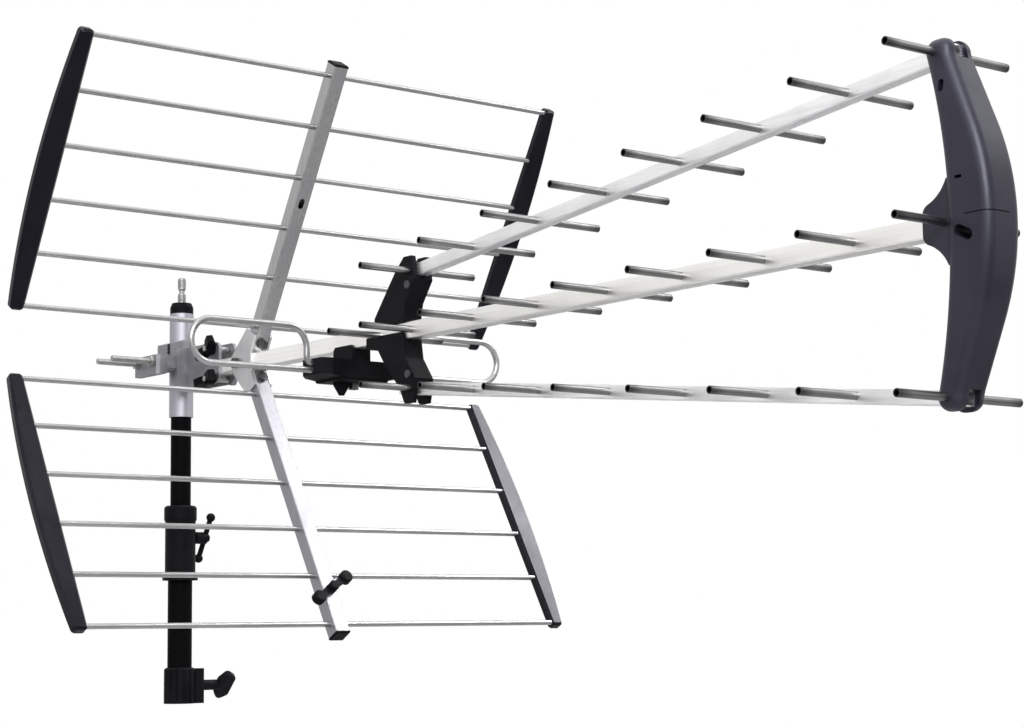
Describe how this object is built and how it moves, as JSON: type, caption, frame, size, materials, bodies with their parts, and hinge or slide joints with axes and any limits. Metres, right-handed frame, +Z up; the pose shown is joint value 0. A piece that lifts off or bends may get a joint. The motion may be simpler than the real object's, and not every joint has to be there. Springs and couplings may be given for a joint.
{
  "type": "rooftop tv antenna",
  "caption": "Directional television antenna with a corner reflector, a folded dipole and three booms of short directors joined by a bow, clamped to the head of a sliding mast.",
  "frame": {"origin": "on the mast's axis, in the bottom face of the base collar", "axes": "+X along the main boom, where the antenna looks; +Y to its left; +Z up along the mast"},
  "size_m": [1.1558, 0.579, 0.6386],
  "materials": {
    "aluminium": "drawn tube, a little dulled",
    "black_steel": "satin black",
    "plated_steel": "zinc plated",
    "cast_grey": "as cast, dull grey",
    "black_plastic": "moulded, satin",
    "slate_plastic": "moulded, satin",
    "rubber": "matt",
    "nickel": "nickel plated",
    "board": "bare laminate"
  },
  "bodies": {
    "base": {"base_collar": "black_plastic", "lower_tube": "black_steel", "upper_collar": "black_plastic"},
    "upper_mast": {"upper_tube": "black_steel", "mast_sleeve": "aluminium", "mast_cap": "black_plastic", "top_stud": "plated_steel"},
    "antenna": {"main_boom": "aluminium", "dipole_left": "aluminium", "dipole_right": "aluminium", "directors_main": "aluminium", "director_rear": "aluminium", "spine_upper": "aluminium", "spine_lower": "aluminium", "side_boom_upper": "aluminium", "side_boom_lower": "aluminium", "directors_upper": "aluminium", "directors_lower": "aluminium", "reflector_rod_upper_1": "aluminium", "reflector_rod_upper_2": "aluminium", "reflector_rod_upper_3": "aluminium", "reflector_rod_upper_4": "aluminium", "reflector_rod_upper_5": "aluminium", "reflector_rod_upper_6": "aluminium", "reflector_rod_lower_1": "aluminium", "reflector_rod_lower_2": "aluminium", "reflector_rod_lower_3": "aluminium", "reflector_rod_lower_4": "aluminium", "reflector_rod_lower_5": "aluminium", "reflector_rod_lower_6": "aluminium", "reflector_bolts": "black_steel", "reflector_nuts": "black_steel", "u_bolt": "plated_steel", "u_bolt_nuts": "plated_steel", "clamp_bolts": "plated_steel", "fork_screws": "plated_steel", "reflector_plate_right": "plated_steel", "reflector_plate_left": "plated_steel", "clamp_body": "cast_grey", "wing_nuts": "black_plastic", "spine_plugs": "black_plastic", "spine_screw": "black_plastic", "balun_box": "black_plastic", "balun_lid": "black_plastic", "fork_upper": "black_plastic", "fork_lower": "black_plastic", "spreader": "slate_plastic", "end_strip_upper_left": "slate_plastic", "end_strip_upper_right": "slate_plastic", "end_strip_lower_left": "slate_plastic", "end_strip_lower_right": "slate_plastic", "cable_gland": "rubber", "cable_socket": "nickel", "balun_board": "board"},
    "base_knob": {"base_knob": "black_plastic"},
    "collar_knob": {"collar_knob": "black_plastic"}
  },
  "joints": [
    {"name": "mast_extend", "type": "slide", "parent": "base", "child": "upper_mast", "axis": [0, 0, 1], "range_m": [-0.08, 0.05]},
    {"name": "aim", "type": "hinge", "parent": "upper_mast", "child": "antenna", "pos_m": [0, 0, 0.352], "axis": [0, 0, 1], "continuous": true},
    {"name": "base_knob_turn", "type": "hinge", "parent": "base", "child": "base_knob", "pos_m": [0, 0.05, 0.019], "axis": [0, 1, 0], "range_deg": [0, 360]},
    {"name": "collar_knob_turn", "type": "hinge", "parent": "base", "child": "collar_knob", "pos_m": [0, 0.03, 0.177], "axis": [0, 1, 0], "range_deg": [0, 360]}
  ]
}
